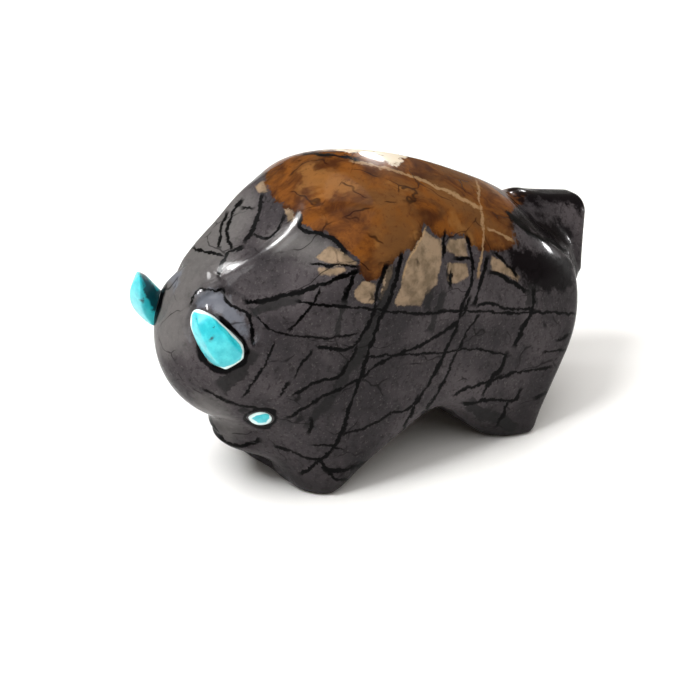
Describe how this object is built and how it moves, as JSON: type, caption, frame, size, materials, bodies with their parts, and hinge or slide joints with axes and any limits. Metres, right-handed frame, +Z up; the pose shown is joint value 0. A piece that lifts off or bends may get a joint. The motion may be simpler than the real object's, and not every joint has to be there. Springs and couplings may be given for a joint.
{
  "type": "zuni fetish",
  "caption": "Small carved bison of polished dark stone with inlaid turquoise horns and eyes, standing on its own feet.",
  "frame": {"origin": "on the surface it stands on, under the middle of the whole carving's box", "axes": "+X towards the head, +Y towards the animal's left side, +Z up"},
  "size_m": [0.0486, 0.0208, 0.0298],
  "materials": {
    "polished_stone": "polished dark grey marble with black veins and a brown matrix over the back",
    "turquoise": "polished turquoise, semi-gloss, a few dark flecks"
  },
  "bodies": {
    "root": {"stone_body": "polished_stone", "left_horn": "turquoise", "right_horn": "turquoise", "left_eye": "turquoise", "right_eye": "turquoise"}
  },
  "joints": []
}
